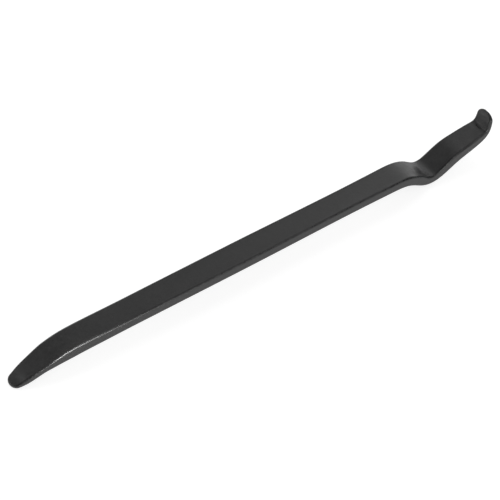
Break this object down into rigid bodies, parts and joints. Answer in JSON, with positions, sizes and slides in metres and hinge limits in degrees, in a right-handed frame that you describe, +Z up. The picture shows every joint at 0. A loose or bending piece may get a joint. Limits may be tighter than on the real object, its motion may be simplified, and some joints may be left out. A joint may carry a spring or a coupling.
{
  "type": "tyre lever",
  "caption": "Long one-piece forged steel tyre lever: flat shank, turned-down spoon at one end, joggled arm with a small upturned hook at the other.",
  "frame": {"origin": "on the bench that the lever lies on, under the middle of its bounding box", "axes": "+X along the shank towards the hook end, +Y across the width, +Z up with the hook opening upwards; the lever lies on its spoon nose and the underside of the joggle's valley"},
  "size_m": [0.6, 0.031, 0.0515],
  "materials": {
    "black_coated_steel": "satin black coat over smooth forged steel"
  },
  "bodies": {
    "root": {"lever": "black_coated_steel"}
  },
  "joints": []
}
